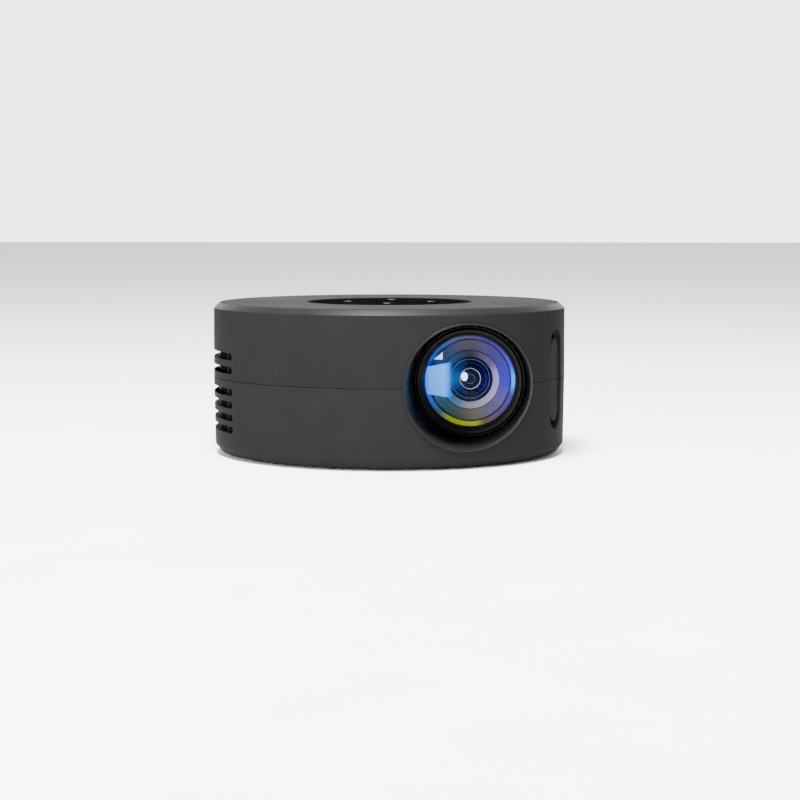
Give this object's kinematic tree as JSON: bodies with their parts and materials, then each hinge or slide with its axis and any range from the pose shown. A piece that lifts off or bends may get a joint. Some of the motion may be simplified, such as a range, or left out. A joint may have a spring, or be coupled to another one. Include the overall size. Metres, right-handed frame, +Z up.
{
  "type": "home projector",
  "caption": "Round palm-sized projector with a recessed lens, a focus ring, side air slots and a round key panel on top.",
  "frame": {"origin": "centre of the base, on the surface that the feet stand on", "axes": "+Z up, the lens looks along -Y, +X to the right of someone who faces the lens"},
  "size_m": [0.105, 0.105, 0.0448],
  "materials": {
    "shell": "fine satin texture",
    "bezel": "satin black",
    "panel": "gloss black",
    "frame": "plain moulded",
    "glass": "coated, blue and violet reflection",
    "acrylic": "clear",
    "screen": "display panel",
    "reflector": "polished",
    "led": "phosphor",
    "aluminium": "milled",
    "steel": "black plated",
    "port": "bright plated",
    "board": "solder mask",
    "chip": "moulded resin",
    "rubber": "matte",
    "fan": "moulded",
    "cone": "pressed",
    "lead": "insulated wire",
    "ribbon": "polyimide"
  },
  "bodies": {
    "casing": {"upper_shell": "shell", "lower_shell": "shell", "lens_bezel": "bezel", "control_panel": "panel", "key_board": "board", "dome_power": "steel", "dome_menu": "steel", "dome_back": "steel", "dome_play": "steel", "dome_next": "steel", "key_board_screw_1": "steel", "key_board_screw_2": "steel", "foot_1": "rubber", "foot_2": "rubber", "foot_3": "rubber", "foot_4": "rubber", "case_screw_1": "steel", "case_screw_2": "steel", "case_screw_3": "steel", "case_screw_4": "steel", "lens_mount": "frame", "condenser_lens": "acrylic", "engine_housing": "frame", "engine_cover": "frame", "front_fresnel": "acrylic", "lcd_frame": "frame", "lcd_panel": "screen", "rear_fresnel": "acrylic", "reflector": "reflector", "led_chip": "led", "led_board": "aluminium", "heat_sink": "aluminium", "fan_frame": "frame", "main_board": "board", "board_screw_1": "steel", "board_screw_2": "steel", "board_screw_3": "steel", "main_chip": "chip", "power_capacitor": "aluminium", "usb_socket": "port", "power_socket": "port", "audio_jack": "bezel", "speaker_frame": "frame", "speaker_cone": "cone", "fan_lead": "lead", "speaker_lead": "lead", "lcd_ribbon": "ribbon"},
    "focus_ring": {"focus_ring": "bezel"},
    "lens_barrel": {"lens_barrel": "bezel", "lens_retainer": "bezel", "lens_baffle": "bezel", "front_lens": "glass", "middle_lens": "glass", "rear_lens": "glass"},
    "fan_rotor": {"fan_rotor": "fan"},
    "key_power": {"key_power": "panel"},
    "key_menu": {"key_menu": "panel"},
    "key_back": {"key_back": "panel"},
    "key_play": {"key_play": "panel"},
    "key_next": {"key_next": "panel"}
  },
  "joints": [
    {"name": "focus_turn", "type": "hinge", "parent": "casing", "child": "focus_ring", "pos_m": [0.0246, -0.019, 0.023], "axis": [0, -1, 0], "range_deg": [-120, 120]},
    {"name": "focus_slide", "type": "slide", "parent": "casing", "child": "lens_barrel", "axis": [0, -1, 0], "range_m": [-0.002, 0.002]},
    {"name": "fan_spin", "type": "hinge", "parent": "casing", "child": "fan_rotor", "pos_m": [-0.0409, 0, 0.0228], "axis": [1, 0, 0], "continuous": true},
    {"name": "key_power_press", "type": "slide", "parent": "casing", "child": "key_power", "axis": [0, 0, -1], "range_m": [0, 0.0004], "stiffness_N_per_m": 1500, "springref_m": -0.0004},
    {"name": "key_menu_press", "type": "slide", "parent": "casing", "child": "key_menu", "axis": [0, 0, -1], "range_m": [0, 0.0004], "stiffness_N_per_m": 1500, "springref_m": -0.0004},
    {"name": "key_back_press", "type": "slide", "parent": "casing", "child": "key_back", "axis": [0, 0, -1], "range_m": [0, 0.0004], "stiffness_N_per_m": 1500, "springref_m": -0.0004},
    {"name": "key_play_press", "type": "slide", "parent": "casing", "child": "key_play", "axis": [0, 0, -1], "range_m": [0, 0.0004], "stiffness_N_per_m": 1500, "springref_m": -0.0004},
    {"name": "key_next_press", "type": "slide", "parent": "casing", "child": "key_next", "axis": [0, 0, -1], "range_m": [0, 0.0004], "stiffness_N_per_m": 1500, "springref_m": -0.0004}
  ],
  "couplings": [
    {"joint": "focus_turn", "follows": "focus_slide", "rad_per_m": 1047}
  ]
}
